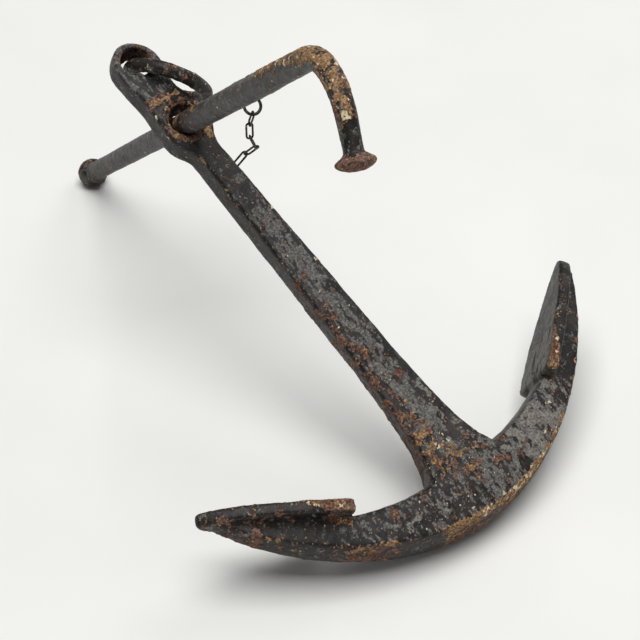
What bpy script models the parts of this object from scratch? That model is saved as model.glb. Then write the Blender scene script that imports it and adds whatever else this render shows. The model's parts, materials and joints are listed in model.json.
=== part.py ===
# Small iron anchor with a loose stock, lying on the floor as it comes to rest.
#
# The anchor is modelled in its own frame, in millimetres: x runs across the arms, y up the
# shank from the crown to the head, z through the thickness, towards the bent end of the stock.
# The empty anchor_lie then lays that frame on the floor: the knob of the stock and the crown
# touch it, and the object's origin is the middle of its footprint.

import math

import bmesh
import bpy
import numpy
from mathutils import Matrix, Vector

MM = 0.001
GAP = 0.3  # running gap between pieces that touch

# how it lies
SHANK_RISE = math.radians(27.7)  # the shank above the floor
ARM_ROLL = math.radians(2.5)  # right arm above the left one

# arms: the outer edge is a bow that opens towards the bills
CROWN_RADIUS = 189.3
BOW_OPENING = (27.4, 4.4)  # growth of the radius with the 2nd and 4th power of the angle
ARM_REACH = 1.44  # angle of each bill, radians
ARM_STATIONS = 44
ARM_DEPTH = [(0, 60), (0.3, 53), (0.6, 46), (0.8, 40), (1.0, 34), (1.2, 29), (1.35, 20), (1.44, 10)]
ARM_HALF_THICKNESS = [(0, 26), (0.4, 26), (0.7, 23), (1.0, 19), (1.2, 16.5), (1.35, 13.5), (1.44, 8.5)]
CROWN_BULGE = [(0, 9), (0.5, 6), (0.9, 5), (1.44, 3)]
# across the thickness, outwards: shares of the half thickness, and of the bulge or the depth
ARM_SECTION = [
    (1.00, -0.08), (0.95, 0.05), (0.65, 0.45), (0.25, 0.80), (-0.20, 0.98), (-0.60, 1.00),
    (-0.88, 0.70), (-1.00, -0.02), (-1.02, -0.40), (-1.00, -0.75), (-0.90, -0.93),
    (-0.55, -1.00), (0.00, -1.02), (0.55, -1.00), (0.90, -0.93), (1.00, -0.75), (1.02, -0.40),
]

# palms: spade-shaped plates on the inner side of the arms
PALM_ROOT = (145, 84.5)
PALM_SLOPE = math.radians(35.7)
PALM_LIFT = (2.5, 8)  # inner faces of the right and left palms above the slope through the root
PALM_TWIST = (math.radians(0.8), math.radians(-3.2))  # and their own lean against it
PALM_THICKNESS = 14
PALM_EDGE = 3
PALM_HALF_OUTLINE = [
    (-7, 14), (-7, 32), (-4, 40.5), (3, 42.8), (20, 42.5), (42, 39.5), (60, 36.5), (85, 32),
    (105, 27), (125, 20), (140, 12), (148, 6), (151, 1),
]

# shank: half widths and half depths by the distance from the crown
FRONT_HALF_WIDTH = [
    (30, 50), (48, 48), (61, 42), (72, 37), (96, 31), (123, 28), (155, 25.8), (200, 24), (235, 22.7),
    (290, 20.4), (350, 18.7), (390, 17.4), (420, 16.5), (460, 15.6), (500, 14.8),
]
BACK_HALF_WIDTH = [
    (30, 44), (48, 41), (61, 35), (75, 29), (96, 24), (123, 21.5), (155, 19.5), (200, 17.6),
    (235, 17.8), (290, 17), (420, 16.6), (500, 15.6),
]
SHANK_HALF_DEPTH = [(30, 23), (61, 23.5), (96, 20.5), (150, 17.4), (300, 16.8), (420, 16), (500, 14.4)]
SHANK_STATIONS = [30, 48, 61, 72, 84, 96, 110, 123, 140, 155, 178, 200, 235, 270, 305, 341, 365, 390,
                  420, 460, 500]
SHANK_CORNER = 5

# head: one flat plate with the boss for the stock and the eye for the ring
PLATE_THICKNESS = 28
PLATE_EDGE = 3.5
HEAD_OUTLINE = [
    (0, 466), (9, 469), (14.4, 478), (15.4, 488), (18, 498), (24.2, 508), (27.3, 520),
    (27.6, 533), (26.8, 545), (22.5, 556), (19, 567), (18.5, 578), (20.5, 590), (23.2, 603),
    (22.8, 613), (18.8, 623), (10.8, 631.5), (1.5, 636.6), (-9, 636.8), (-19, 631.3),
    (-26, 622), (-28.8, 611), (-29, 597), (-27.8, 584), (-25.8, 572), (-25.6, 560),
    (-27.2, 546), (-27.8, 533), (-29, 520), (-26.8, 508), (-20.4, 497), (-15.8, 488),
    (-14.6, 478), (-9, 469),
]
BOSS_PLACE = 528.4
BOSS_BORE = 19.4
BOSS_MOUTH = 23.5
BOSS_RIM = 26.5
RIM_HEIGHT = 16.5
EYE_PLACE = (-2.5, 613)
EYE_BORE = 17.8
EYE_MOUTH = 19.6

# stock: a round bar, leaning in its boss, bent over at the near end
STOCK_LEAN_BACK = math.radians(17.8)
STOCK_LEAN_SIDE = math.radians(8.9)
LEG_TURN = math.radians(-8.2)  # the bent leg against hanging straight down
KNOB_PLACE = -374.8
KNOB_HALF_LENGTH = 16
KNOB_RADIUS = 18
FAR_RADIUS = 12.25
FAR_END_RADIUS = 11.3
SHOULDER_PLACE = 17
NEAR_RADIUS = 12.9
BEND_START = 391
BEND_RADIUS = 67
BEND_BAR_RADIUS = (12.1, 10.6)  # where the bend starts and ends
BUTTON_PLACE = 98
BUTTON_SHAPE = [(0, 9.8), (3, 13), (6.5, 18.3), (8.5, 19.5), (11, 18.8), (14, 14.5), (16, 8), (16.6, 1)]
STOCK_SIDES = 8  # bevel resolution of the bar

# forelock key: a flat wedge through the stock, behind the boss
KEY_PLACE = -26
KEY_THICKNESS = 3.6
KEY_SMALL_END = -25
KEY_SMALL_HALF_WIDTH = 3.4
KEY_HALF_WIDTH = 4.9
KEY_EYE_PLACE = 85.3
KEY_EYE_RADIUS = 8
KEY_EYE_BORE = 4
KEY_RISE = math.radians(2.04)  # above square to the leg's plumb line

# rings and chain
HEAD_RING = (43.2, 8)  # mean radius, half the bar's thickness
HEAD_RING_CENTRE = Vector((25.8, 582.6, -11.3))
HEAD_RING_FACING = Vector((0.8, 0.6, 0.3))
KEY_RING = (9.8, 1.9)
KEY_RING_DROP = 5.0  # of the ring's centre below the middle of the key's eye
KEY_RING_OUT = 7.7  # of the ring's centre beyond it
CHAIN_START_TURN = math.radians(19)  # where the first link hangs on the ring
LINK_LENGTH = 23.4  # between the middles of the wire at its two ends
LINK_WIRE = 1.25
LINK_HALF_WIDTH = 3.55
LINK_ARC_STEPS = 6
LINK_FACING = Vector((-0.48, -0.16, 0.86))
# for each link, degrees: swing from straight down, lean out of the chain's plane, turn on itself
LINK_LIE = [
    (5, 22, 57), (-3, 6, 167), (-22, 12, -79), (28, 31, -64), (52, -9, 34), (86, -10, 125),
    (138, -8, -114), (140, -8, -25), (142, -7, 64), (144, -6, 154),
]
CHAIN_EYE_PLACE = -42
CHAIN_EYE_STANDOFF = 5
CHAIN_EYE_RADIUS = 4.6
CHAIN_EYE_WIRE = 1.6

PAINT_BLACK = (0.055, 0.050, 0.047)
RUST_BROWN = (0.16, 0.085, 0.050)
IRON_BLACK = (0.040, 0.035, 0.032)


def start_clean():
    for old in list(bpy.data.objects):
        bpy.data.objects.remove(old, do_unlink=True)


def make_collection(name):
    collection = bpy.data.collections.new(name)
    bpy.context.scene.collection.children.link(collection)
    return collection


def make_material(name, colour, roughness, metallic):
    material = bpy.data.materials.new(name)
    material.use_nodes = True
    shader = material.node_tree.nodes["Principled BSDF"]
    shader.inputs["Base Color"].default_value = (*colour, 1.0)
    shader.inputs["Roughness"].default_value = roughness
    shader.inputs["Metallic"].default_value = metallic
    material.diffuse_color = (*colour, 1.0)
    return material


def value_at(table, x):
    places, values = zip(*table)
    return float(numpy.interp(x, places, values))


def smooth_closed(points, steps):
    # a closed Catmull-Rom curve through the points
    count = len(points)
    smooth = []
    for i in range(count):
        p0, p1, p2, p3 = (Vector(points[(i + k) % count]) for k in (-1, 0, 1, 2))
        for step in range(steps):
            t = step / steps
            smooth.append(0.5 * (2 * p1 + (p2 - p0) * t + (2 * p0 - 5 * p1 + 4 * p2 - p3) * t ** 2
                                 + (3 * p1 - p0 - 3 * p2 + p3) * t ** 3))
    return smooth


def frame_matrix(origin, x_axis, y_axis):
    # the placement whose x and y axes lie along the two given directions
    x_axis = x_axis.normalized()
    y_axis = (y_axis - y_axis.dot(x_axis) * x_axis).normalized()
    z_axis = x_axis.cross(y_axis)
    matrix = Matrix((x_axis, y_axis, z_axis)).transposed().to_4x4()
    matrix.translation = Vector(origin) * MM
    return matrix


def place(obj, collection, lie, matrix, material=None):
    collection.objects.link(obj)
    obj.parent = lie
    obj.matrix_local = matrix
    if material:
        obj.data.materials.clear()
        obj.data.materials.append(material)
        obj.data.shade_smooth()
        obj.data.set_sharp_from_angle(angle=math.radians(40))
    else:
        obj.hide_render = True
        obj.display_type = "WIRE"
    return obj


def make_hinge(name, lie, point, along):
    # an empty on a joint's axis, its z along it, and the way from the anchor's frame into its own
    hinge = bpy.data.objects.new(name, None)
    bpy.context.scene.collection.objects.link(hinge)
    hinge.parent = lie
    side = (Vector((1, 0, 0)) - along.x * along).normalized()
    matrix = frame_matrix(point, side, along.cross(side))
    hinge.matrix_local = matrix
    return hinge, matrix.inverted()


def mesh_from_curve(curve):
    # the curve as one closed mesh, with its caps welded on
    maker = bpy.data.objects.new(curve.name + "_curve", curve)
    bpy.context.scene.collection.objects.link(maker)
    depsgraph = bpy.context.evaluated_depsgraph_get()
    mesh = bpy.data.meshes.new_from_object(maker.evaluated_get(depsgraph))
    bpy.data.objects.remove(maker, do_unlink=True)
    shape = bmesh.new()
    shape.from_mesh(mesh)
    bmesh.ops.remove_doubles(shape, verts=shape.verts, dist=0.000002)
    bmesh.ops.recalc_face_normals(shape, faces=shape.faces)
    shape.to_mesh(mesh)
    shape.free()
    return mesh


def bar_mesh(name, points, radii, resolution, closed=False):
    # a round bar along the points, with its own radius at each of them
    curve = bpy.data.curves.new(name, "CURVE")
    curve.dimensions = "3D"
    curve.bevel_depth = MM
    curve.bevel_resolution = resolution
    curve.use_fill_caps = not closed
    spline = curve.splines.new("POLY")
    spline.points.add(len(points) - 1)
    for knot, point, radius in zip(spline.points, points, radii):
        knot.co = (*(Vector(point) * MM), 1.0)
        knot.radius = radius
    spline.use_cyclic_u = closed
    return mesh_from_curve(curve)


def plate_mesh(name, outlines, thickness, edge):
    # a flat plate with rounded edges, from closed outlines; the second one is a hole
    curve = bpy.data.curves.new(name, "CURVE")
    curve.dimensions = "2D"
    curve.fill_mode = "BOTH"
    curve.extrude = (thickness / 2 - edge) * MM
    curve.bevel_depth = edge * MM
    curve.bevel_resolution = 2
    curve.offset = -edge * MM
    for outline in outlines:
        spline = curve.splines.new("POLY")
        spline.points.add(len(outline) - 1)
        for knot, point in zip(spline.points, outline):
            knot.co = (point[0] * MM, point[1] * MM, 0, 1)
        spline.use_cyclic_u = True
    return mesh_from_curve(curve)


def loft_mesh(name, rings):
    # a skin over rings of equally many points, closed at both ends
    shape = bmesh.new()
    rows = [[shape.verts.new(point * MM) for point in ring] for ring in rings]
    count = len(rows[0])
    for low, high in zip(rows, rows[1:]):
        for i in range(count):
            j = (i + 1) % count
            shape.faces.new((low[i], low[j], high[j], high[i]))
    shape.faces.new(rows[0])
    shape.faces.new(rows[-1])
    bmesh.ops.recalc_face_normals(shape, faces=shape.faces)
    mesh = bpy.data.meshes.new(name)
    shape.to_mesh(mesh)
    shape.free()
    return mesh


def turned_object(name, profile, steps):
    # a solid of revolution about z; the profile runs from its top to its bottom
    mesh = bpy.data.meshes.new(name)
    points = [(radius * MM, 0, height * MM) for radius, height in profile]
    mesh.from_pydata(points, [(i, i + 1) for i in range(len(points) - 1)], [])
    obj = bpy.data.objects.new(name, mesh)
    turn = obj.modifiers.new("turn", "SCREW")
    turn.axis = "Z"
    turn.steps = steps
    turn.render_steps = steps
    turn.use_merge_vertices = True
    turn.merge_threshold = 0.00001
    return obj


def torus_mesh(name, radii, segments, sides):
    bpy.ops.mesh.primitive_torus_add(major_radius=radii[0] * MM, minor_radius=radii[1] * MM,
                                     major_segments=segments, minor_segments=sides)
    maker = bpy.context.object
    mesh = maker.data
    mesh.name = name
    bpy.data.objects.remove(maker, do_unlink=True)
    return mesh


def join(target, tool, operation):
    modifier = target.modifiers.new(operation.lower() + "_" + tool.name, "BOOLEAN")
    modifier.operation = operation
    modifier.solver = "EXACT"
    modifier.object = tool


def arms_mesh():
    rings = []
    for station in range(ARM_STATIONS + 1):
        angle = ARM_REACH * (2 * station / ARM_STATIONS - 1)
        spread = abs(angle)
        edge = CROWN_RADIUS + BOW_OPENING[0] * angle ** 2 + BOW_OPENING[1] * angle ** 4
        depth = value_at(ARM_DEPTH, spread)
        half_thickness = value_at(ARM_HALF_THICKNESS, spread)
        bulge = value_at(CROWN_BULGE, spread)
        ring = []
        for across, outwards in ARM_SECTION:
            radius = edge + outwards * (bulge if outwards > 0 else depth)
            ring.append(Vector((radius * math.sin(angle), CROWN_RADIUS - radius * math.cos(angle),
                                across * half_thickness)))
        rings.append(ring)
    return loft_mesh("arms", rings)


def shank_mesh():
    rings = []
    for station in SHANK_STATIONS:
        half_widths = {1: value_at(FRONT_HALF_WIDTH, station), -1: value_at(BACK_HALF_WIDTH, station)}
        half_depth = value_at(SHANK_HALF_DEPTH, station)
        ring = []
        for quarter, (side, face) in enumerate(((1, 1), (-1, 1), (-1, -1), (1, -1))):
            for step in range(4):
                turn = math.radians(90 * quarter + 30 * step)
                ring.append(Vector((
                    side * (half_widths[face] - SHANK_CORNER) + SHANK_CORNER * math.cos(turn), station,
                    face * (half_depth - SHANK_CORNER) + SHANK_CORNER * math.sin(turn))))
        rings.append(ring)
    return loft_mesh("shank", rings)


def head_mesh():
    return plate_mesh("head", [smooth_closed(HEAD_OUTLINE, 3)], PLATE_THICKNESS, PLATE_EDGE)


def palm_mesh():
    near = [Vector(point) for point in PALM_HALF_OUTLINE]
    far = [Vector((point.x, -point.y)) for point in reversed(near)]
    return plate_mesh("palm", [smooth_closed(near + far, 3)], PALM_THICKNESS, PALM_EDGE)


def build_forging(parts, cutters, lie, material):
    forging = bpy.data.objects.new("shank_and_arms", arms_mesh())
    place(forging, parts, lie, Matrix(), material)
    thickness_axis = Vector((0, 0, 1))

    shank = bpy.data.objects.new("shank_block", shank_mesh())
    join(forging, place(shank, cutters, lie, Matrix()), "UNION")

    head = bpy.data.objects.new("head_block", head_mesh())
    join(forging, place(head, cutters, lie, Matrix()), "UNION")

    spade = palm_mesh()
    for side, name, lift, twist in zip((1, -1), ("right_palm_block", "left_palm_block"),
                                       PALM_LIFT, PALM_TWIST):
        slope = PALM_SLOPE + twist
        along = Vector((side * math.cos(slope), math.sin(slope), 0))
        outwards = Vector((side * math.sin(slope), -math.cos(slope), 0))
        root = Vector((side * PALM_ROOT[0], PALM_ROOT[1], 0)) + outwards * (PALM_THICKNESS / 2 - lift)
        palm = bpy.data.objects.new(name, spade)
        place(palm, cutters, lie, frame_matrix(root, along, thickness_axis))
        join(forging, palm, "UNION")

    at_boss = Matrix.Translation(Vector((0, BOSS_PLACE, 0)) * MM)
    rim_face = RIM_HEIGHT
    rim = turned_object("boss_rim_block", [
        (0, rim_face), (BOSS_RIM - 2, rim_face), (BOSS_RIM, rim_face - 2), (BOSS_RIM, 2 - rim_face),
        (BOSS_RIM - 2, -rim_face), (0, -rim_face)], 48)
    join(forging, place(rim, cutters, lie, at_boss), "UNION")

    bore = turned_object("boss_bore_cutter", bore_profile(BOSS_BORE, BOSS_MOUTH, rim_face), 48)
    join(forging, place(bore, cutters, lie, at_boss), "DIFFERENCE")

    at_eye = Matrix.Translation(Vector((*EYE_PLACE, 0)) * MM)
    eye = turned_object("eye_cutter", bore_profile(EYE_BORE, EYE_MOUTH, PLATE_THICKNESS / 2), 48)
    join(forging, place(eye, cutters, lie, at_eye), "DIFFERENCE")
    return forging


def bore_profile(bore, mouth, face):
    # a hole that opens out at both faces
    reach = face + 10
    throat = face - (mouth - bore)
    return [(0, reach), (mouth, reach), (mouth, face), (bore, throat), (bore, -throat),
            (mouth, -face), (mouth, -reach), (0, -reach)]


def stock_frame():
    # the bar's direction, the way its leg hangs, and the way the key points
    axis = Vector((-math.sin(STOCK_LEAN_SIDE), -math.cos(STOCK_LEAN_SIDE) * math.sin(STOCK_LEAN_BACK),
                   math.cos(STOCK_LEAN_SIDE) * math.cos(STOCK_LEAN_BACK)))
    up = anchor_up()
    hang = -(up - up.dot(axis) * axis).normalized()
    square = axis.cross(hang)
    leg = hang * math.cos(LEG_TURN) + square * math.sin(LEG_TURN)
    key = square * math.cos(KEY_RISE) - hang * math.sin(KEY_RISE)
    return axis, hang, leg, key


def lie_turn():
    return Matrix.Rotation(SHANK_RISE, 4, "X") @ Matrix.Rotation(-ARM_ROLL, 4, "Y")


def anchor_up():
    # straight up, in the anchor's own frame
    return lie_turn().to_3x3().inverted() @ Vector((0, 0, 1))


def stock_line(axis, leg):
    # points along the bar from the knob to the button, each with the bar's radius
    line = []
    for step in range(9):
        turn = math.radians(3 + 17 * step)
        line.append((axis * (KNOB_PLACE - KNOB_HALF_LENGTH * math.cos(turn)),
                     max(KNOB_RADIUS * math.sin(turn), FAR_END_RADIUS if step > 4 else 0)))
    for place_along, radius in ((-340, FAR_END_RADIUS), (-200, 11.8), (-60, FAR_RADIUS),
                                (-30, FAR_RADIUS), (SHOULDER_PLACE, FAR_RADIUS),
                                (SHOULDER_PLACE + 3, NEAR_RADIUS), (150, 13.2), (260, 13.3),
                                (320, 12.7)):
        line.append((axis * place_along, radius))
    corner = axis * BEND_START + leg * BEND_RADIUS
    for step in range(11):
        turn = math.radians(9 * step)
        line.append((corner + BEND_RADIUS * (axis * math.sin(turn) - leg * math.cos(turn)),
                     numpy.interp(step, (0, 10), BEND_BAR_RADIUS)))
    end = axis * (BEND_START + BEND_RADIUS)
    for drop, radius in ((80, 10.1), (90, 9.8)):
        line.append((end + leg * drop, radius))
    for drop, radius in BUTTON_SHAPE:
        line.append((end + leg * (BUTTON_PLACE + drop), radius))
    return line


def build_stock(parts, cutters, lie, material):
    axis, _, leg, key = stock_frame()
    line = stock_line(axis, leg)
    mesh = bar_mesh("stock", [point for point, _ in line], [radius for _, radius in line], STOCK_SIDES)
    at_boss = Matrix.Translation(Vector((0, BOSS_PLACE, 0)) * MM)
    stock = bpy.data.objects.new("stock", mesh)
    place(stock, parts, lie, at_boss, material)

    half_width = value_at([(KEY_SMALL_END, KEY_SMALL_HALF_WIDTH), (KEY_EYE_PLACE, KEY_HALF_WIDTH)],
                          FAR_RADIUS) + 1.5 * GAP
    shape = bmesh.new()
    bmesh.ops.create_cube(shape, size=1)
    bmesh.ops.scale(shape, verts=shape.verts, vec=Vector((
        4 * FAR_RADIUS, 2 * half_width, KEY_THICKNESS + 2 * GAP)) * MM)
    box = bpy.data.meshes.new("key_slot")
    shape.to_mesh(box)
    shape.free()
    slot = bpy.data.objects.new("key_slot_cutter", box)
    place(slot, cutters, lie, frame_matrix(hole_centre() + axis * KEY_PLACE, key, axis))
    join(stock, slot, "DIFFERENCE")

    # the eye for the chain: a ring half sunk in the bar, in line with the chain's pull
    start, end, _ = chain_links()[-1]
    way = (end - start).normalized()
    wire = end - way * (LINK_WIRE + CHAIN_EYE_WIRE + GAP)
    away = wire - hole_centre()
    away = away - away.dot(axis) * axis
    across = (away - away.dot(way) * way).normalized()
    middle = wire + way * CHAIN_EYE_RADIUS
    eye = bpy.data.objects.new("chain_eye_block", torus_mesh(
        "chain_eye", (CHAIN_EYE_RADIUS, CHAIN_EYE_WIRE), 20, 8))
    place(eye, cutters, lie, frame_matrix(middle, way, across))
    join(stock, eye, "UNION")
    return stock


def hole_centre():
    return Vector((0, BOSS_PLACE, 0))


def build_key(parts, lie, material):
    axis, _, _, key = stock_frame()
    first = math.pi - math.asin(KEY_HALF_WIDTH / KEY_EYE_RADIUS)
    outline = [Vector((KEY_SMALL_END, -KEY_SMALL_HALF_WIDTH + 1)),
               Vector((KEY_SMALL_END + 1.5, -KEY_SMALL_HALF_WIDTH))]
    for step in range(17):
        turn = -first + 2 * first * step / 16
        outline.append(Vector((KEY_EYE_PLACE + KEY_EYE_RADIUS * math.cos(turn),
                               KEY_EYE_RADIUS * math.sin(turn))))
    outline.append(Vector((KEY_SMALL_END + 1.5, KEY_SMALL_HALF_WIDTH)))
    outline.append(Vector((KEY_SMALL_END, KEY_SMALL_HALF_WIDTH - 1)))
    hole = [Vector((KEY_EYE_PLACE + KEY_EYE_BORE * math.cos(math.radians(22.5 * step)),
                    KEY_EYE_BORE * math.sin(math.radians(22.5 * step)))) for step in range(16)]
    mesh = plate_mesh("forelock_key", [outline, hole], KEY_THICKNESS, 0)
    forelock = bpy.data.objects.new("forelock_key", mesh)
    place(forelock, parts, lie, frame_matrix(hole_centre() + axis * KEY_PLACE, key, axis), material)


def key_ring_frame():
    # the ring's centre, the way the key points, and down, square to the stock
    axis, _, _, key = stock_frame()
    down = key.cross(axis)
    centre = (hole_centre() + axis * KEY_PLACE + key * (KEY_EYE_PLACE + KEY_RING_OUT)
              + down * KEY_RING_DROP)
    return centre, key, down


def chain_links():
    # both ends of each link's centre line and the way its face looks, from the key ring onwards
    axis, hang, _, _ = stock_frame()
    up = anchor_up()
    centre, key, down = key_ring_frame()
    hook = down * math.cos(CHAIN_START_TURN) - key * math.sin(CHAIN_START_TURN)
    ring_wire = centre + hook * KEY_RING[0]
    eye = hole_centre() + axis * CHAIN_EYE_PLACE + hang * (FAR_RADIUS + CHAIN_EYE_STANDOFF)
    ahead = eye - ring_wire
    ahead = (ahead - ahead.dot(up) * up).normalized()
    aside = ahead.cross(up)
    links = []
    for swing, lean, turn in LINK_LIE:
        swing = math.radians(swing)
        lean = math.radians(lean)
        way = math.cos(lean) * (math.sin(swing) * ahead - math.cos(swing) * up)
        way = way + math.sin(lean) * aside
        face = (LINK_FACING - LINK_FACING.dot(way) * way).normalized()
        face = Matrix.Rotation(math.radians(turn), 3, way) @ face
        if links:
            # the round ends hook into each other along the mean of the two links' directions
            last_start, last_end, last_face = links[-1]
            last_way = (last_end - last_start).normalized()
            pull = (last_way + way).normalized()
            bight = (pull - pull.dot(last_face) * last_face).normalized()
            hold = (pull - pull.dot(face) * face).normalized()
            wire = last_end + (bight - last_way) * LINK_HALF_WIDTH - pull * (2 * LINK_WIRE + GAP)
            start = wire + (hold - way) * LINK_HALF_WIDTH
        else:
            start = ring_wire - way * (KEY_RING[1] + LINK_WIRE + GAP)
        links.append((start, start + way * LINK_LENGTH, face))
    return links


def chain_swing_line():
    # the line from the key ring's wire to the eye's, about which the whole chain swings
    links = chain_links()
    first_start, first_end, _ = links[0]
    last_start, last_end, _ = links[-1]
    held = first_start - (first_end - first_start).normalized() * (LINK_WIRE + GAP / 2)
    tied = last_end + (last_start - last_end).normalized() * (LINK_WIRE + GAP / 2)
    return held, (tied - held).normalized()


def link_mesh():
    straight = LINK_LENGTH / 2 - LINK_HALF_WIDTH
    points = []
    for side, start in ((1, 0), (-1, 180)):
        for step in range(LINK_ARC_STEPS + 1):
            turn = math.radians(start + 180 * step / LINK_ARC_STEPS)
            points.append((LINK_HALF_WIDTH * math.cos(turn),
                           side * straight + LINK_HALF_WIDTH * math.sin(turn), 0))
    return bar_mesh("chain_link", points, [LINK_WIRE] * len(points), 2, closed=True)


def build_chain(parts, lie, material):
    shared = link_mesh()
    swing, inwards = make_hinge("chain_swing", lie, *chain_swing_line())
    for number, (start, end, face) in enumerate(chain_links()):
        along = (end - start).normalized()
        link = bpy.data.objects.new(f"chain_link_{number + 1}", shared)
        matrix = frame_matrix((start + end) / 2, along.cross(face), along)
        place(link, parts, swing, inwards @ matrix, material)


def build_rings(parts, lie, ring_material, wire_material):
    head_ring = bpy.data.objects.new("head_ring", torus_mesh("head_ring", HEAD_RING, 48, 12))
    level = HEAD_RING_FACING.cross(Vector((0, 0, 1)))
    # the ring hangs slack in the eye and turns about the eye's own axis
    hinge, inwards = make_hinge("head_ring_hinge", lie, Vector((*EYE_PLACE, 0)), Vector((0, 0, 1)))
    matrix = frame_matrix(HEAD_RING_CENTRE, level, HEAD_RING_FACING.cross(level))
    place(head_ring, parts, hinge, inwards @ matrix, ring_material)
    centre, key, down = key_ring_frame()
    key_ring = bpy.data.objects.new("key_ring", torus_mesh("key_ring", KEY_RING, 28, 8))
    place(key_ring, parts, lie, frame_matrix(centre, key, down), wire_material)


def stand_on_floor(parts, lie):
    # the origin goes to the middle of the footprint, on the floor
    bpy.context.view_layer.update()
    depsgraph = bpy.context.evaluated_depsgraph_get()
    low = Vector((math.inf,) * 3)
    high = -low
    for obj in parts.objects:
        evaluated = obj.evaluated_get(depsgraph)
        for vertex in evaluated.to_mesh().vertices:
            point = evaluated.matrix_world @ vertex.co
            low = Vector(map(min, low, point))
            high = Vector(map(max, high, point))
        evaluated.to_mesh_clear()
    lie.location = (-(low.x + high.x) / 2, -(low.y + high.y) / 2, -low.z)
    bpy.context.view_layer.update()


def main():
    start_clean()
    parts = make_collection("barnacled_anchor")
    cutters = make_collection("construction")
    lie = bpy.data.objects.new("anchor_lie", None)
    bpy.context.scene.collection.objects.link(lie)
    lie.rotation_euler = lie_turn().to_euler()

    painted_iron = make_material("painted_forged_iron", PAINT_BLACK, 0.7, 0.1)
    rusted_iron = make_material("rusted_iron", RUST_BROWN, 0.85, 0.1)
    chain_iron = make_material("blackened_iron_wire", IRON_BLACK, 0.6, 0.3)

    build_forging(parts, cutters, lie, painted_iron)
    build_stock(parts, cutters, lie, painted_iron)
    build_key(parts, lie, rusted_iron)
    build_rings(parts, lie, painted_iron, chain_iron)
    build_chain(parts, lie, chain_iron)
    stand_on_floor(parts, lie)


main()
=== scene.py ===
import json
import math

import bpy
import numpy as np
from mathutils import Matrix, Vector, noise


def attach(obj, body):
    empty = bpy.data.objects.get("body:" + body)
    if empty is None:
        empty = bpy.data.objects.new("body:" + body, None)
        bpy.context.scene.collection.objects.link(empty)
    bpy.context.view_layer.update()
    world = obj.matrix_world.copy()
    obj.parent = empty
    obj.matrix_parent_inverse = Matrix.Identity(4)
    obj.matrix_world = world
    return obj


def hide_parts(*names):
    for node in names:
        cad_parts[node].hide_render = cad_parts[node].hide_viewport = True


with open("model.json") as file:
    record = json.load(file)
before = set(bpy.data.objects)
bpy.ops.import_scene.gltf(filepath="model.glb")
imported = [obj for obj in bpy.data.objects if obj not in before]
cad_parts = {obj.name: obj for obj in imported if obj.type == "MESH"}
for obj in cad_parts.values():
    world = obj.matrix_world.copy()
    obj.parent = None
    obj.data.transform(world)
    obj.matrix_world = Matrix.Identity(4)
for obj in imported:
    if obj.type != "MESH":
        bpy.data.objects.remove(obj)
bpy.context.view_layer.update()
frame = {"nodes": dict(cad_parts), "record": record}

mm = 0.001

# The anchor's own frame, in millimetres: x across the arms, y up the shank from the crown,
# z through the thickness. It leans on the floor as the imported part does.
lie = {
    "shankRise": 27.7,
    "armRoll": 2.5,
    "boss": (0, 528.4, 0),
}
stockHinge = next(joint for joint in frame["record"]["behaviour"]["joints"]
                  if joint["name"] == "stock_turn")
anchorTurn = (Matrix.Rotation(math.radians(lie["shankRise"]), 4, "X")
              @ Matrix.Rotation(-math.radians(lie["armRoll"]), 4, "Y"))
anchorLie = (Matrix.Translation(Vector(stockHinge["pos_m"]) - anchorTurn @ (Vector(lie["boss"]) * mm))
             @ anchorTurn)


# ---- small helpers

def srgb(hexCode):
    # a colour as it looks on screen, turned to the linear values that shaders take
    parts = [int(hexCode[i:i + 2], 16) / 255 for i in (1, 3, 5)]
    return (*[p / 12.92 if p <= 0.04045 else ((p + 0.055) / 1.055) ** 2.4 for p in parts], 1)


def ramp(value, start, end):
    share = np.clip((value - start) / (end - start), 0, 1)
    return share * share * (3 - 2 * share)


def blob(points, centre, radii):
    # 1 in the middle of an egg-shaped patch, 0 from its edge outwards
    away = np.linalg.norm((points - np.array(centre)) / np.array(radii), axis=1)
    return 1 - ramp(away, 0.45, 1.0)


def settled(points, rows):
    # the cover that a table of egg-shaped patches gives
    return sum(share * blob(points, centre, radii) for share, centre, radii in rows)


def patches(points, size, seed, octaves=3):
    # noise ranked from 0 to 1, so that what lies under a level covers that share of the surface
    shift = Vector((seed * 17.3, seed * 5.1, seed * 9.7))
    scaled = points / np.array(size)
    values = np.array([noise.fractal(Vector(p) + shift, 0.9, 2.1, octaves) for p in scaled])
    ranks = np.empty(len(values))
    ranks[np.argsort(values)] = np.linspace(0, 1, len(values))
    return ranks


def waves(points, size, seed):
    shift = Vector((seed * 3.7, seed * 11.9, seed * 7.1))
    scaled = points / np.array(size)
    return np.array([noise.noise(Vector(p) + shift) for p in scaled])


def spread(points, cover, size, seed, octaves, crisp):
    # 0.5 along a patch's edge, more inside it, less outside
    return np.clip(0.5 + (cover - patches(points, size, seed, octaves)) * crisp, 0, 1)


def stretch(value, start, end, soft):
    # 1 between start and end, falling to 0 over soft millimetres outside them
    return ramp(value, start - soft, start) * (1 - ramp(value, end, end + soft))


def copyNode(node, voxel, smoothing):
    # a fine, even mesh in the shape of the solid, with its facets worn smooth
    piece = bpy.data.objects.new("weathered_" + node, frame["nodes"][node].data.copy())
    bpy.context.scene.collection.objects.link(piece)
    remesh = piece.modifiers.new("even", "REMESH")
    remesh.mode = "VOXEL"
    remesh.voxel_size = voxel * mm
    smooth = piece.modifiers.new("wearAndSheen", "SMOOTH")
    smooth.factor = 0.5
    smooth.iterations = smoothing
    shaped = bpy.data.meshes.new_from_object(piece.evaluated_get(bpy.context.evaluated_depsgraph_get()))
    piece.modifiers.clear()
    piece.data = shaped
    shaped.shade_smooth()
    return piece


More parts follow.
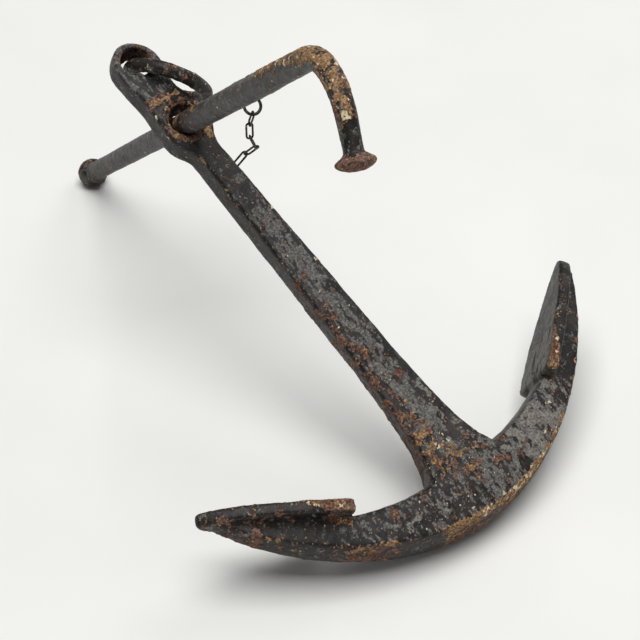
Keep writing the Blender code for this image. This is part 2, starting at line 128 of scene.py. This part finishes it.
def readMesh(piece):
    # points and normals in the anchor's frame, millimetres
    count = len(piece.data.vertices)
    points = np.empty(count * 3)
    piece.data.vertices.foreach_get("co", points)
    normals = np.empty(count * 3)
    piece.data.vertices.foreach_get("normal", normals)
    back = np.array(anchorLie.inverted())
    points = (points.reshape(-1, 3) @ back[:3, :3].T + back[:3, 3]) / mm
    return points, normals.reshape(-1, 3) @ back[:3, :3].T


def writeMesh(piece, points, coats):
    out = np.array(anchorLie)
    placed = points * mm @ out[:3, :3].T + out[:3, 3]
    piece.data.vertices.foreach_set("co", placed.ravel())
    for name, values in coats.items():
        layer = piece.data.attributes.new(name, "FLOAT", "POINT")
        layer.data.foreach_set("value", np.clip(values, 0, 1))
    piece.data.update()


def standIn(piece, node, body, slot):
    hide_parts(node)
    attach(piece, body)
    piece.data.materials.clear()
    piece.data.materials.append(materials[slot])


def roughen(points, normals, coats, shape, seed):
    # hammer waves, small dents, and the thickness of the rust, crust and flakes
    height = shape["hammer"] * waves(points, 38, seed)
    height += shape["dents"] * waves(points, 13, seed + 1)
    height += shape["grit"] * waves(points, 4.5, seed + 2)
    height += shape["scab"] * ramp(coats["rust"], 0.4, 0.6)
    height += shape["scab"] * 0.8 * ramp(coats["ochre"], 0.4, 0.6)
    height += shape["scab"] * 0.5 * ramp(coats["flake"], 0.4, 0.6)
    height -= shape["scab"] * 1.5 * coats["cracksAndHoleShade"]
    return points + normals * height[:, None]


# ---- materials

def addNode(tree, kind, settings=None, links=None):
    node = tree.nodes.new(kind)
    for key, value in (settings or {}).items():
        if isinstance(key, str) and hasattr(node, key):
            setattr(node, key, value)
        else:
            node.inputs[key].default_value = value
    for key, source in (links or {}).items():
        tree.links.new(source, node.inputs[key])
    return node


def newMaterial(name):
    material = bpy.data.materials.new(name)
    material.use_nodes = True
    tree = material.node_tree
    tree.nodes.clear()
    shader = addNode(tree, "ShaderNodeBsdfPrincipled")
    addNode(tree, "ShaderNodeOutputMaterial", links={"Surface": shader.outputs[0]})
    return material, tree, shader


def grain(tree, place, size, detail, roughness):
    # noise whose coarsest lumps are about size millimetres across
    return addNode(tree, "ShaderNodeTexNoise",
                   {"Scale": 1 / (size * mm), "Detail": detail, "Roughness": roughness},
                   {"Vector": place}).outputs["Fac"]


def shades(tree, value, stops):
    band = addNode(tree, "ShaderNodeValToRGB", links={"Fac": value})
    while len(band.color_ramp.elements) < len(stops):
        band.color_ramp.elements.new(0.5)
    for element, (place, hexCode) in zip(band.color_ramp.elements, stops):
        element.position = place
        element.color = srgb(hexCode)
    return band.outputs["Color"]


def combine(tree, operation, a, b):
    node = addNode(tree, "ShaderNodeMath", {"operation": operation})
    for socket, value in zip(node.inputs, (a, b)):
        if isinstance(value, (int, float)):
            socket.default_value = value
        else:
            tree.links.new(value, socket)
    return node.outputs[0]


def coatMask(tree, name, ragged, softness, rag):
    # a coat's edge follows the piece's own map, broken up by fine noise
    coat = addNode(tree, "ShaderNodeAttribute", {"attribute_name": name}).outputs["Fac"]
    noisy = combine(tree, "MULTIPLY", combine(tree, "SUBTRACT", ragged, 0.5), rag)
    edge = combine(tree, "ADD", coat, noisy)
    return addNode(tree, "ShaderNodeMapRange", {
        "interpolation_type": "SMOOTHSTEP", "From Min": 0.5 - softness, "From Max": 0.5 + softness},
        {"Value": edge}).outputs[0]


def mixColour(tree, mask, under, over):
    node = addNode(tree, "ShaderNodeMix", {"data_type": "RGBA"})
    tree.links.new(mask, node.inputs[0])
    tree.links.new(under, node.inputs[6])
    tree.links.new(over, node.inputs[7])
    return node.outputs[2]


def mixValue(tree, mask, under, over):
    node = addNode(tree, "ShaderNodeMix", {"data_type": "FLOAT"})
    for socket, value in zip((node.inputs[0], node.inputs[2], node.inputs[3]), (mask, under, over)):
        if isinstance(value, (int, float)):
            socket.default_value = value
        else:
            tree.links.new(value, socket)
    return node.outputs[0]


def blackenedIron(name, look):
    # Bitumen paint brushed over hand-forged iron and left outdoors: a dull black skin that drinks
    # the light, lighter grey where it faces up (scuffed wear and painted sheen), with raised rust scabs,
    # ochre crust, pale flakes.
    material, tree, shader = newMaterial(name)
    place = addNode(tree, "ShaderNodeTexCoord").outputs["Object"]
    coarse = grain(tree, place, look["mottle"], 5, 0.62)
    middle = grain(tree, place, look["flakeSize"], 6, 0.68)
    fine = grain(tree, place, look["grit"], 5, 0.72)
    speck = grain(tree, place, look["speck"], 3, 0.6)

    paint = shades(tree, coarse, look["paint"])
    wearAndSheen = shades(tree, fine, look["wearAndSheen"])
    flake = shades(tree, fine, look["flake"])
    rust = mixColour(tree, shades(tree, coarse, [(0.42, "#000000"), (0.58, "#ffffff")]),
                     shades(tree, fine, look["rust"]), shades(tree, fine, look["pinkRust"]))
    ochre = shades(tree, fine, look["ochre"])
    ochre = mixColour(tree, shades(tree, speck, [(0.55, "#000000"), (0.68, "#ffffff")]), ochre,
                      shades(tree, fine, look["pinkRust"]))
    pale = shades(tree, fine, look["pale"])
    olive = shades(tree, middle, look["olive"])

    wearAndSheenMask = coatMask(tree, "wearAndSheen", fine, 0.36, 2.4)
    flakeMask = coatMask(tree, "flake", middle, 0.05, 3.2)
    oliveMask = coatMask(tree, "olive", middle, 0.12, 1.1)
    rustMask = coatMask(tree, "rust", fine, 0.12, 2.6)
    ochreMask = coatMask(tree, "ochre", fine, 0.10, 2.4)
    paleMask = coatMask(tree, "pale", speck, 0.08, 1.6)
    cracksAndHoleShade = addNode(tree, "ShaderNodeAttribute", {"attribute_name": "cracksAndHoleShade"}).outputs["Fac"]

    # the grey coat is partly scuffed wear and partly painted sheen on upward faces
    colour = mixColour(tree, combine(tree, "MULTIPLY", wearAndSheenMask, look["wearAndSheenShare"]), paint, wearAndSheen)
    colour = mixColour(tree, oliveMask, colour, olive)
    colour = mixColour(tree, flakeMask, colour, flake)
    colour = mixColour(tree, rustMask, colour, rust)
    colour = mixColour(tree, ochreMask, colour, ochre)
    colour = mixColour(tree, paleMask, colour, pale)
    # painted shade: near-black deep in the bores, plus darkened palm cracks
    dark = addNode(tree, "ShaderNodeMix", {"data_type": "RGBA", 7: srgb(look["crackAndShadeTone"])},
                   {0: combine(tree, "MULTIPLY", cracksAndHoleShade, 0.85), 6: colour})
    tree.links.new(dark.outputs[2], shader.inputs["Base Color"])

    shine = addNode(tree, "ShaderNodeMapRange", {
        "From Min": 0.3, "From Max": 0.7, "To Min": look["gloss"][0], "To Max": look["gloss"][1]},
        {"Value": middle}).outputs[0]
    shine = mixValue(tree, wearAndSheenMask, shine, 0.6)
    scabs = combine(tree, "MAXIMUM", rustMask, combine(tree, "MAXIMUM", ochreMask, paleMask))
    shine = mixValue(tree, combine(tree, "MAXIMUM", scabs, flakeMask), shine, 0.85)
    tree.links.new(shine, shader.inputs["Roughness"])
    shader.inputs["Specular IOR Level"].default_value = look["specular"]

    height = combine(tree, "MULTIPLY", middle, 0.35)
    height = combine(tree, "ADD", height, combine(tree, "MULTIPLY", fine, 0.3))
    crumbs = combine(tree, "ADD", combine(tree, "MULTIPLY", fine, 1.1), 0.2)
    height = combine(tree, "ADD", height, combine(tree, "MULTIPLY", scabs, crumbs))
    height = combine(tree, "ADD", height, combine(tree, "MULTIPLY", flakeMask, 0.16))
    bump = addNode(tree, "ShaderNodeBump", {"Strength": 1.0, "Distance": look["relief"] * mm},
                   {"Height": height})
    tree.links.new(bump.outputs[0], shader.inputs["Normal"])
    return material


weatheredLook = {
    "mottle": 26, "flakeSize": 7, "grit": 2.4, "speck": 5,       # sizes in mm
    "paint": [(0.36, "#191614"), (0.5, "#221e1c"), (0.64, "#2f2a27")],
    # lighter grey of scuffed wear and of painted sheen on upward faces
    "wearAndSheen": [(0.34, "#343231"), (0.5, "#5d5b58"), (0.64, "#8f8c88")],
    "flake": [(0.34, "#4c4945"), (0.5, "#716d67"), (0.66, "#9a958d")],
    "rust": [(0.32, "#261b15"), (0.45, "#4c3628"), (0.56, "#765240"), (0.7, "#a87c5c")],
    "pinkRust": [(0.32, "#2e2420"), (0.45, "#5a4439"), (0.56, "#80645a"), (0.7, "#ae9080")],
    "ochre": [(0.32, "#3d2d21"), (0.45, "#73573d"), (0.56, "#a17f5a"), (0.7, "#d6ba92")],
    "pale": [(0.35, "#a08f70"), (0.5, "#d2c09a"), (0.65, "#efe8d6")],
    "olive": [(0.35, "#2a2924"), (0.5, "#403f37"), (0.65, "#59574c")],
    # near-black of the painted shade in the holes and of the palm cracks
    "crackAndShadeTone": "#0a0908",
    "wearAndSheenShare": 0.9,
    "gloss": (0.34, 0.52),
    "specular": 0.25,
    "relief": 0.8,
}
wireLook = dict(weatheredLook, flakeSize=4, grit=1.2, speck=2, relief=0.3,
                paint=[(0.36, "#090808"), (0.5, "#100f0f"), (0.64, "#181716")])
rustedLook = dict(weatheredLook, flakeSize=4, grit=1.5,
                  paint=[(0.36, "#2a1c14"), (0.5, "#3d281b"), (0.64, "#5a3c27")])
materials = {
    "painted_forged_iron": blackenedIron("weatheredBitumenPaint", weatheredLook),
    "rusted_iron": blackenedIron("rustedIron", rustedLook),
    "blackened_iron_wire": blackenedIron("blackenedWire", wireLook),
}
print("materials made")


# ---- the forging: shank, arms, palms and head

forging = {
    "voxel": 1.8,
    "smoothing": 3,
    "shape": {"hammer": 0.8, "dents": 0.45, "grit": 0.25, "scab": 0.5},
    "bowRadius": 189.3,            # outer edge of the arms, which grows with the angle
    "bowOpening": (27.4, 4.4),
    "palmRoot": (145, 84.5),
    "palmSlope": 35.7,
    "throat": 13.3,                # how close rust has grown to the stock's axis in the boss
    "eye": {"place": (-2.5, 613), "lip": 4},
    # each coat's patches: size in mm, seed, octaves and how crisp their edges are
    "patches": {
        "rust": (9, 1, 4, 3.2),
        "ochre": (7, 2, 4, 5),
        "wearAndSheen": ((4, 11, 4), 3, 4, 3.2),
        "flake": (13, 7, 3, 3.2),
        "pale": (5, 4, 3, 9),
        "olive": (12, 6, 3, 3.2),
    },
    "streaks": ((3, 42, 4.5), 5),  # cracks along the palms: size in mm, seed
    # what has settled or flaked in one spot: share of cover, middle and radii in mm
    "crownRust": [(0.22, (-22, 95, 20), (48, 60, 40)), (0.16, (5, 52, 20), (60, 36, 40)),
                  (0.10, (-230, 130, 0), (60, 50, 60))],
    "neckRust": [(0.6, (-16, 562, 15), (20, 9, 16)), (0.2, (14, 556, 15), (16, 8, 16))],
    "bossRust": [(0.8, (-16, 514, 15), (24, 20, 16))],
    "crownOchre": [(0.16, (-12, 58, 26), (46, 34, 30)), (0.18, (-24, 105, 22), (26, 40, 30))],
    "neckOchre": [(0.6, (-17, 563, 15), (17, 8, 12)), (0.5, (2, 560, 15), (22, 5, 12))],
    "ochreChips": [(0.95, (13, 504, 14), (6, 11, 10)), (0.95, (-17, 481, 15), (4.5, 10, 7)),
                   (0.5, (-154, 47, 12), (8, 8, 10)), (0.5, (-207, 84, 8), (7, 5, 10))],
    "armFlakes": [(0.14, (130, 80, 20), (40, 50, 40)), (0.12, (-60, 40, 26), (70, 30, 30))],
    "rightFlakes": [(0.55, (84, 38, 26), (60, 36, 40))],
    "rootFlakes": [(0.16, (0, 120, 20), (30, 70, 30))],
    "bossChip": [(0.9, (-35, 521, 10), (7, 13, 9))],
    "paleChips": [(1, (15, 395, 13), (3, 4, 6)), (1, (15, 322, 13), (3, 4, 6)),
                  (0.8, (-27, 549, 14), (2.5, 3.5, 5)), (0.2, (-7, 88, 24), (14, 16, 14))],
    "neckOlive": [(0.3, (20, 568, 8), (12, 14, 16))],
    "spotCover": 0.9,
    # single rust spots: middle and radius in mm
    "rustSpots": [((0, 322, 17), 3.5), ((7, 172, 18), 6.5), ((-103, 51, 22), 7), ((-22, 367, 8), 5),
                  ((-20, 309, 10), 5), ((-22, 273, 10), 7), ((-22, 233, 12), 8), ((-20, 178, 14), 8),
                  ((-187, 76, 10), 5), ((-238, 115, 5), 8), ((-260, 162, 0), 7)],
}


def armDepth(x, y):
    # how far a point lies in from the outer edge of the arms
    angle = np.arctan2(np.abs(x), forging["bowRadius"] - y)
    square, fourth = forging["bowOpening"]
    outerEdge = forging["bowRadius"] + square * angle ** 2 + fourth * angle ** 4
    return outerEdge - np.hypot(x, y - forging["bowRadius"])


def palmPlace(x, y):
    # how far out along the palm, and how far above its slope
    slope = math.radians(forging["palmSlope"])
    rootX, rootY = forging["palmRoot"]
    out = (np.abs(x) - rootX) * math.sin(slope) + (y - rootY) * math.cos(slope)
    lift = (y - rootY) * math.sin(slope) - (np.abs(x) - rootX) * math.cos(slope)
    return out, lift


def forgingCoats(points, normals):
    x, y, z = points.T
    nx, ny, nz = normals.T
    upper = ramp(nz, 0.4, 0.85)
    depth = armDepth(x, y)
    out, lift = palmPlace(x, y)
    arms = (1 - ramp(depth, 58, 75)) * (1 - ramp(y, 175, 200) * (1 - ramp(np.abs(x), 60, 90)))
    shank = (1 - arms) * (1 - ramp(y, 455, 480)) * ramp(45 - np.abs(x), 0, 12)
    head = ramp(y, 462, 490)
    fromMiddle = np.maximum(np.hypot(x, y - forging["bowRadius"]), 1)
    outward = (nx * x + ny * (y - forging["bowRadius"])) / fromMiddle
    rim = arms * ramp(outward, 0.4, 0.75)
    palm = ramp(np.abs(x), 120, 132) * ramp(lift, -16, -11) * ramp(out, -14, -8)
    palmEdge = palm * ramp(np.abs(nz), 0.45, 0.75) * ramp(np.abs(z), 14, 20)
    palmFace = palm * (1 - ramp(np.abs(nz), 0.3, 0.6))
    right = ramp(x, -10, 10)
    boss = np.hypot(x, y - lie["boss"][1])
    eye = np.hypot(x - forging["eye"]["place"][0], y - forging["eye"]["place"][1])
    bossRim = head * ramp(z, 12, 14.5) * (1 - ramp(boss, 26, 30))
    bossBore = head * (1 - ramp(boss, 20, 23)) * (1 - ramp(z, 13, 15))
    eyeBore = head * (1 - ramp(eye, 18, 20.5))
    neck = head * ramp(z, 10, 13)
    plateEdge = head * stretch(nz, 0.35, 0.9, 0.15) * ramp(z, 8, 12)

    # rust: blooms down the left edge of the shank, over the crown, the rim and the palms' edges
    leftEdge = shank * ramp(-x, 2, 9) * ramp(0.45 - nx, 0, 0.5)
    growth = (1 - ramp(y, 90, 390)) * stretch(y, -50, 300, 90)
    rust = 0.004 + 0.42 * leftEdge * growth + 0.05 * shank * (1 - ramp(y, 60, 200))
    rust += arms * (settled(points, forging["crownRust"]) + 0.03 * upper)
    rust += rim * (0.55 * stretch(x, -60, 105, 30) + 0.65 * stretch(x, -165, -122, 12) + 0.06)
    rust += palmEdge * right * (1.1 * stretch(out, -12, 70, 12) + 0.35 * stretch(out, 70, 104, 8))
    rust += palmEdge * (1 - right) * (0.85 * stretch(out, -12, 100, 25) + 0.12)
    rust += bossRim * (0.2 + settled(points, forging["bossRust"])) + 0.6 * (bossBore + eyeBore)
    rust += neck * settled(points, forging["neckRust"])
    for place, size in forging["rustSpots"]:
        rust += forging["spotCover"] * blob(points, place, (size, size, 2 * size))

    # ochre: the worn outer edge of the arms, the neck above the boss, crust on crown and palms
    band = arms * ramp(nz, -0.1, 0.35) * stretch(depth, -2, 2, 2) * ramp(z, 6, 14)
    ochre = 0.002 + band * (0.6 * stretch(x, -62, 62, 16) + 0.2 * stretch(x, -165, -118, 8)
                            + 0.5 * stretch(x, 62, 125, 14) + 0.12)
    ochre += 0.35 * rim * ramp(z, 0, 15) * stretch(x, -55, 60, 20)
    ochre += upper * settled(points, forging["crownOchre"]) + 0.06 * leftEdge * growth
    ochre += palmEdge * (0.18 * stretch(out, -12, 70, 12) + 0.45 * right * stretch(out, 96, 128, 8))
    ochre += 0.12 * bossRim + neck * settled(points, forging["neckOchre"])
    ochre += settled(points, forging["ochreChips"])

    # lighter grey on what faces up, scuffed wear mixed with painted sheen, and loose light-grey flakes on
    # the right of the crown
    topBand = upper * (1 - ramp(np.abs(x + 1), 8, 15))
    wearAndSheen = 0.03 + 0.62 * shank * topBand * stretch(y, 110, 390, 30) + 0.12 * upper * shank
    wearAndSheen += upper * arms * (0.25 + 0.25 * right) * (1 - ramp(np.abs(x), 135, 175))
    # painted sheen on the head's upward face; wear and a painted highlight along the head plate's edge
    wearAndSheen += 0.16 * upper * head * ramp(y, 560, 572) + 0.6 * plateEdge * ramp(y, 565, 590)
    wearAndSheen += 0.15 * palmEdge
    flake = upper * arms * right * settled(points, forging["rightFlakes"])
    flake += upper * arms * settled(points, forging["armFlakes"])
    flake += upper * settled(points, forging["rootFlakes"]) + 0.03 * topBand * shank

    pale = 0.001 + 0.08 * palmEdge + 0.22 * band * stretch(x, -20, 114, 10)
    pale += 0.02 * upper * arms * (1 - ramp(np.abs(x), 60, 120))
    pale += settled(points, forging["bossChip"]) * ramp(-nx, 0.1, 0.5)
    pale += settled(points, forging["paleChips"])
    olive = 0.95 * palmFace + head * settled(points, forging["neckOlive"])

    streaks = patches(np.column_stack([lift * 0.1, out, z]), *forging["streaks"])
    # cracks darkened along the palm faces, and painted shade deepening into the bores of the boss and the
    # eye
    cracksAndHoleShade = palmFace * ramp(0.16 - streaks, 0, 0.10)
    cracksAndHoleShade += 0.8 * bossBore * (1 - ramp(z, -2, 12)) + 0.6 * eyeBore * (1 - ramp(z, -4, 10))
    covers = {"rust": rust, "ochre": ochre, "wearAndSheen": wearAndSheen, "flake": flake, "pale": pale, "olive": olive}
    coats = {name: spread(points, cover, *forging["patches"][name]) for name, cover in covers.items()}
    return coats | {"cracksAndHoleShade": np.clip(cracksAndHoleShade, 0, 1)}


def closeHoles(points):
    # rust has built up in the back of the boss, close around the stock, and on the eye's lip
    x, y, z = points.T
    axis = np.array(Vector(stock["axis"]).normalized())
    away = points - np.array(lie["boss"])
    around = away - (away @ axis)[:, None] * axis
    reach = np.maximum(np.linalg.norm(around, axis=1), 1)
    inBore = (1 - ramp(np.hypot(x, y - lie["boss"][1]), 21.5, 25.5)) * ramp(10 - z, 0, 8)
    snug = forging["throat"] + 0.3 * waves(points, 7, 31)
    inward = np.minimum(snug / reach, 1)
    points = points - around * ((1 - inward) * inBore)[:, None]
    eyeX, eyeY = forging["eye"]["place"]
    lip = (1 - ramp(np.hypot(x - eyeX, y - eyeY), 18.5, 22)) * ramp(y - eyeY, 6, 14) * ramp(-z, -4, 8)
    points[:, 1] -= forging["eye"]["lip"] * lip
    return points


def makeForging():
    piece = copyNode("shank_and_arms", forging["voxel"], forging["smoothing"])
    points, normals = readMesh(piece)
    coats = forgingCoats(points, normals)
    points = closeHoles(roughen(points, normals, coats, forging["shape"], 1))
    writeMesh(piece, points, coats)
    standIn(piece, "shank_and_arms", "anchor", "painted_forged_iron")
    print("forging:", len(points), "points")


# ---- the stock: a round bar, bent over, with a ball and a button at its ends

stock = {
    "voxel": 1.2,
    "smoothing": 3,
    "shape": {"hammer": 0.45, "dents": 0.25, "grit": 0.15, "scab": 0.45},
    "axis": (-0.1547, -0.3020, 0.9407),
    "shoulder": 17,
    "hang": (-0.1988, -0.9231, -0.3291),  # the bent leg's way down, from the bar's corner
    "corner": 458,
    "button": 98,
    # the bar and the leg are also painted lighter grey toward these sides, as sheen
    "barSide": (0.11, 0.69, 0.72),       # of the world: where rain and dirt settled on the bar
    "legSide": (-0.62, -0.62, 0.48),     # and on the bent leg
    "patches": {
        "rust": (9, 11, 4, 3.2),
        "ochre": (9, 12, 5, 4),
        "pale": (6, 15, 3, 9),
        "olive": (10, 16, 3, 3.2),
    },
    "smears": (14, 3, 3.2),              # brush marks round the bar: seed, octaves, crispness
    "smearSize": (3.2, 16, 16),
}


def stockCoats(points, normals):
    axis = Vector(stock["axis"]).normalized()
    away = points - np.array(lie["boss"])
    place = away @ np.array(axis)
    turn = np.array(anchorTurn.to_3x3())
    fall = (away - np.array(axis) * stock["corner"]) @ np.array(stock["hang"])
    onLeg = ramp(fall, 10, 40)
    barFacing = (normals @ turn.T) @ np.array(Vector(stock["barSide"]).normalized())
    legFacing = (normals @ turn.T) @ np.array(Vector(stock["legSide"]).normalized())
    facing = barFacing * (1 - onLeg) + legFacing * onLeg
    button = ramp(fall, stock["button"], stock["button"] + 4)
    leg = onLeg * (1 - button)

    crust = ramp(place, 222, 300) * (1 - ramp(fall, 64, 73)) * (1 - button)
    top = stretch(place, 385, 480, 45) * (1 - ramp(fall, 34, 58))
    side = ramp(facing, 0.32 - 0.75 * top + 0.45 * ramp(fall, 30, 66), 0.85 - 0.45 * top)
    ochre = 0.003 + 0.72 * crust * side + 0.1 * button
    ochre += 0.75 * stretch(place, 2, stock["shoulder"] - 1, 2) * stretch(facing, 0.1, 1.2, 0.2)
    ochre += 0.30 * ramp(barFacing, 0.35, 0.7) * stretch(place, 58, 84, 12)
    rust = 0.006 + 0.30 * crust * ramp(facing, 0.1, 0.6) + 1.2 * button + 0.03 * leg
    rust += 0.8 * stretch(place, -14, stock["shoulder"], 1.5) + 0.12 * (1 - ramp(place, -350, -330))
    # lighter grey toward barSide and legSide, part wear and part painted sheen, a little lighter on the
    # bar's opposite side too, with brush marks round the bar
    wearAndSheen = 0.10 + 0.22 * ramp(facing, 0.3, 0.8) + 0.15 * ramp(-barFacing, 0.5, 0.9) * (place > 20)
    pale = 0.001 + 0.07 * crust * side + 0.9 * leg * stretch(fall, 59, 66, 2) * ramp(facing, 0.88, 0.97)
    olive = 0.05 + 0.30 * (1 - ramp(place, -345, -320)) + 0.10 * crust
    along, round1, round2 = stock["smearSize"]
    smear = np.column_stack([place / along, points[:, 0] / round1, points[:, 1] / round2])
    covers = {"rust": rust, "ochre": ochre, "pale": pale, "olive": olive}
    coats = {name: spread(points, cover, *stock["patches"][name]) for name, cover in covers.items()}
    # painted shade darkens the stretch of the stock inside the boss
    return coats | {"wearAndSheen": spread(smear, wearAndSheen, 1, *stock["smears"]),
                    "flake": np.zeros(len(points)),
                    "cracksAndHoleShade": 0.5 * stretch(place, -14, 3, 3)}


def makeStock():
    piece = copyNode("stock", stock["voxel"], stock["smoothing"])
    points, normals = readMesh(piece)
    coats = stockCoats(points, normals)
    writeMesh(piece, roughen(points, normals, coats, stock["shape"], 4), coats)
    standIn(piece, "stock", "stock", "painted_forged_iron")
    print("stock:", len(points), "points")


makeForging()
makeStock()


# ---- rings, key and chain

trim = {
    "head_ring": {"body": "head_ring", "slot": "painted_forged_iron",
                  "voxel": 1.1, "smoothing": 6, "patch": 10,
                  "shape": {"hammer": 0.45, "dents": 0.3, "grit": 0.15, "scab": 0.4},
                  "cover": {"rust": 0.07, "ochre": 0.01, "wearAndSheen": 0.18, "pale": 0.0, "olive": 0.08}},
    "forelock_key": {"body": "stock", "slot": "rusted_iron",
                     "voxel": 0.6, "smoothing": 2, "patch": 4,
                     "shape": {"hammer": 0.1, "dents": 0.1, "grit": 0.08, "scab": 0.1},
                     "cover": {"rust": 0.5, "ochre": 0.1, "wearAndSheen": 0.1, "pale": 0.01, "olive": 0.1}},
    "key_ring": {"body": "key_ring", "slot": "blackened_iron_wire",
                 "voxel": 0.35, "smoothing": 1, "patch": 4,
                 "shape": {"hammer": 0.05, "dents": 0.05, "grit": 0.04, "scab": 0.05},
                 "cover": {"rust": 0.02, "ochre": 0.0, "wearAndSheen": 0.05, "pale": 0.0, "olive": 0.0}},
}
chain = {
    "links": 10,
    "rustyLink": 5,
    "voxel": 0.28,
    "smoothing": 1,
    "patch": 4,
    "rustSpot": (5, 5, 5),
    "shape": {"hammer": 0.03, "dents": 0.04, "grit": 0.03, "scab": 0.05},
    "cover": {"rust": 0.03, "ochre": 0.0, "wearAndSheen": 0.05, "pale": 0.0, "olive": 0.0},
}


def makeTrim(node, body, slot, settings, seed):
    piece = copyNode(node, settings["voxel"], settings["smoothing"])
    points, normals = readMesh(piece)
    coats = {name: spread(points, cover, settings["patch"], seed + i, 3, 3.2)
             for i, (name, cover) in enumerate(settings["cover"].items())}
    coats["cracksAndHoleShade"] = coats["flake"] = np.zeros(len(points))
    if node == f"chain_link_{chain['rustyLink']}":
        first = points[points[:, 0].argmax()]
        coats["rust"] = np.maximum(coats["rust"], blob(points, first, chain["rustSpot"]))
    writeMesh(piece, roughen(points, normals, coats, settings["shape"], seed), coats)
    standIn(piece, node, body, slot)


for number, (node, settings) in enumerate(trim.items()):
    makeTrim(node, settings["body"], settings["slot"], settings, 20 + 7 * number)
for number in range(1, chain["links"] + 1):
    makeTrim(f"chain_link_{number}", f"chain_link_{number}", "blackened_iron_wire", chain, 50 + 7 * number)
print("rings, key and chain made")


# ---- floor, light and camera

studio = {
    "floorSize": 30,
    "floor": [(0.3, "#ededea"), (0.7, "#f1f1ee")],
    "sky": 0.17,
    "softboxes": {
        "overhead": {"place": (-0.4, -0.4, 6.0), "size": 4.4, "watts": 330},
        "right": {"place": (4.6, 0.0, 3.9), "size": 3.4, "watts": 62},
    },
}


def makeFloor():
    # matt white-painted board, faintly uneven in tone
    half = studio["floorSize"] / 2
    mesh = bpy.data.meshes.new("floor")
    mesh.from_pydata([(-half, -half, 0), (half, -half, 0), (half, half, 0), (-half, half, 0)], [],
                     [(0, 1, 2, 3)])
    floor = bpy.data.objects.new("floor", mesh)
    bpy.context.scene.collection.objects.link(floor)
    material, tree, shader = newMaterial("paintedBoard")
    place = addNode(tree, "ShaderNodeTexCoord").outputs["Object"]
    tree.links.new(shades(tree, grain(tree, place, 240, 3, 0.5), studio["floor"]),
                   shader.inputs["Base Color"])
    shader.inputs["Roughness"].default_value = 0.8
    shader.inputs["Specular IOR Level"].default_value = 0.2
    mesh.materials.append(material)


def makeLight():
    world = bpy.data.worlds.new("studio")
    bpy.context.scene.world = world
    world.use_nodes = True
    sky = world.node_tree.nodes["Background"]
    sky.inputs["Color"].default_value = (1, 1, 1, 1)
    sky.inputs["Strength"].default_value = studio["sky"]
    for name, box in studio["softboxes"].items():
        lamp = bpy.data.lights.new(name, "AREA")
        lamp.shape = "SQUARE"
        lamp.size = box["size"]
        lamp.energy = box["watts"]
        holder = bpy.data.objects.new(name, lamp)
        holder.location = box["place"]
        holder.rotation_euler = (-Vector(box["place"])).to_track_quat("-Z", "Y").to_euler()
        bpy.context.scene.collection.objects.link(holder)


camera = {
    "place": (-1.3239, -1.4831, 1.8523),
    "looks": (0.5157, 0.5333, -0.6705),
    "lens": 135,
    "sensor": 36,
}


def makeCamera():
    view = bpy.data.cameras.new("camera")
    view.lens = camera["lens"]
    view.sensor_width = camera["sensor"]
    view.clip_start = 0.1
    holder = bpy.data.objects.new("camera", view)
    holder.location = camera["place"]
    holder.rotation_euler = Vector(camera["looks"]).to_track_quat("-Z", "Y").to_euler()
    bpy.context.scene.collection.objects.link(holder)
    bpy.context.scene.camera = holder


makeFloor()
makeLight()
makeCamera()
bpy.context.scene.view_settings.view_transform = "Standard"
print("floor, light and camera made")

bpy.context.view_layer.update()
